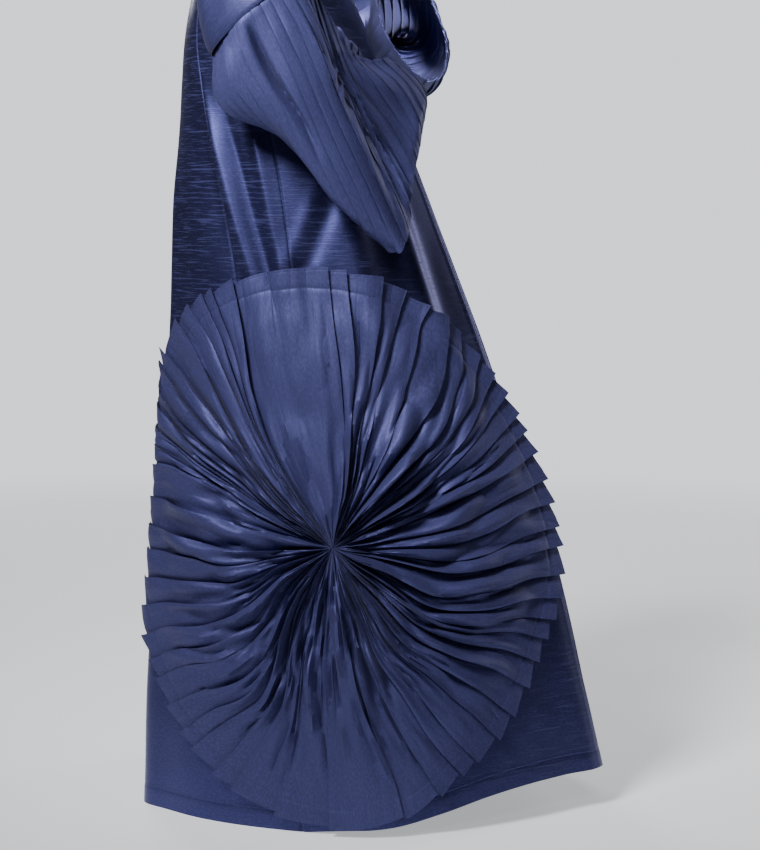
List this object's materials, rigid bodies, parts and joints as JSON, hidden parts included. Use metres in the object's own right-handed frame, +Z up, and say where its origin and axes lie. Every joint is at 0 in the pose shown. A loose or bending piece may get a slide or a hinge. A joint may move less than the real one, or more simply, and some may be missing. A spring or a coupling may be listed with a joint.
{
  "type": "abaya",
  "caption": "Floor-length open-front silk abaya with pleated bell sleeves and one large gathered rosette on the right side of the skirt.",
  "frame": {"origin": "middle of the neck, level with the top ends of the shoulder seams, where the wearer's shoulders carry the garment", "axes": "+Z up, -Y to the front of the garment, -X to the wearer's right side"},
  "size_m": [0.6626, 0.7831, 1.5303],
  "materials": {
    "front_right": "satin",
    "side_back_right": "satin",
    "back_centre": "satin",
    "side_back_left": "satin",
    "front_left": "satin",
    "upper_sleeve_right": "satin",
    "upper_sleeve_left": "satin",
    "pleated_sleeve_right": "satin",
    "pleated_sleeve_left": "satin",
    "rosette": "satin"
  },
  "bodies": {
    "root": {"front_right": "front_right", "side_back_right": "side_back_right", "back_centre": "back_centre", "side_back_left": "side_back_left", "front_left": "front_left", "upper_sleeve_right": "upper_sleeve_right", "upper_sleeve_left": "upper_sleeve_left", "pleated_sleeve_right": "pleated_sleeve_right", "pleated_sleeve_left": "pleated_sleeve_left", "rosette": "rosette"}
  },
  "joints": []
}
